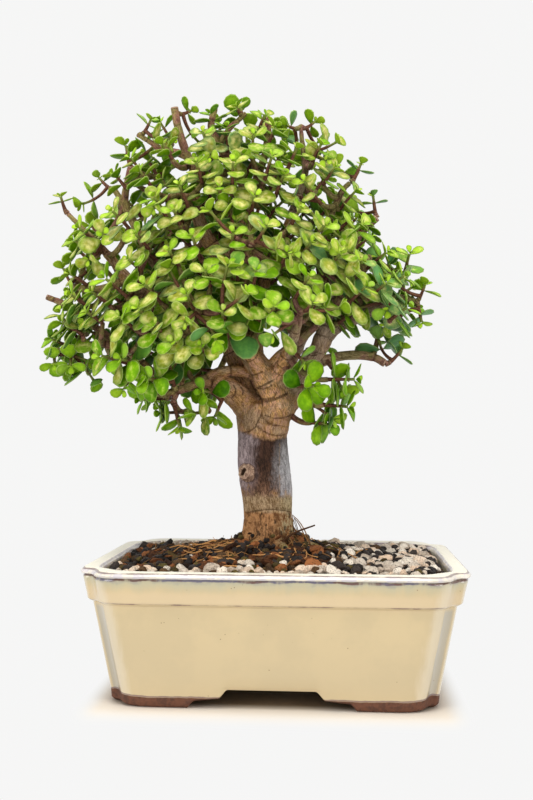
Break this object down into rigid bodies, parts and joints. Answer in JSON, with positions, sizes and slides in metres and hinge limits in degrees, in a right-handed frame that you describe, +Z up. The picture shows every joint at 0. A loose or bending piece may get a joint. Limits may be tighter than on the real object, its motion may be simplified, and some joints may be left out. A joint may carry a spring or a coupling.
{
  "type": "dwarf jade bonsai tree in a rectangular pot",
  "caption": "Small broom-style succulent bonsai with round leaves in opposite pairs, in a low glazed rectangular pot with notched corners and cut feet.",
  "frame": {"origin": "middle of the footprint of pot and crown together, on the surface the pot stands on", "axes": "+Z up, +X to the right and +Y away from the front, where the front is the side with the long edge of the pot and the pruning scar"},
  "size_m": [0.243, 0.171, 0.3377],
  "materials": {
    "glaze": "glossy cream glaze that breaks purple-brown at the rim, over a bare brown clay foot",
    "drain_mesh": "matte black mesh",
    "soil": "dark gritty mix of lava, pumice, bark and root fibre",
    "bark": "smooth fibrous brown bark with node rings",
    "leaf": "waxy satin fleshy leaf on a red-brown stem"
  },
  "bodies": {
    "root": {"pot": "glaze", "drain_screen_left": "drain_mesh", "drain_screen_right": "drain_mesh", "soil": "soil", "trunk_and_limbs": "bark", "shoot_01": "leaf", "shoot_02": "leaf", "shoot_03": "leaf", "shoot_04": "leaf", "shoot_05": "leaf", "shoot_06": "leaf", "shoot_07": "leaf", "shoot_08": "leaf", "shoot_09": "leaf", "shoot_10": "leaf", "shoot_11": "leaf", "shoot_12": "leaf", "shoot_13": "leaf", "shoot_14": "leaf", "shoot_15": "leaf", "shoot_16": "leaf", "shoot_17": "leaf", "shoot_18": "leaf", "shoot_19": "leaf", "shoot_20": "leaf", "shoot_21": "leaf", "shoot_22": "leaf", "shoot_23": "leaf", "shoot_24": "leaf", "shoot_25": "leaf", "shoot_26": "leaf", "shoot_27": "leaf", "shoot_28": "leaf", "shoot_29": "leaf", "shoot_30": "leaf", "shoot_31": "leaf", "shoot_32": "leaf", "shoot_33": "leaf", "shoot_34": "leaf", "shoot_35": "leaf", "shoot_36": "leaf", "shoot_37": "leaf", "shoot_38": "leaf", "shoot_39": "leaf", "shoot_40": "leaf", "shoot_41": "leaf", "shoot_42": "leaf", "shoot_43": "leaf", "shoot_44": "leaf", "shoot_45": "leaf", "shoot_46": "leaf", "shoot_47": "leaf", "shoot_48": "leaf", "shoot_49": "leaf", "shoot_50": "leaf", "shoot_51": "leaf", "shoot_52": "leaf", "shoot_53": "leaf", "shoot_54": "leaf"}
  },
  "joints": []
}
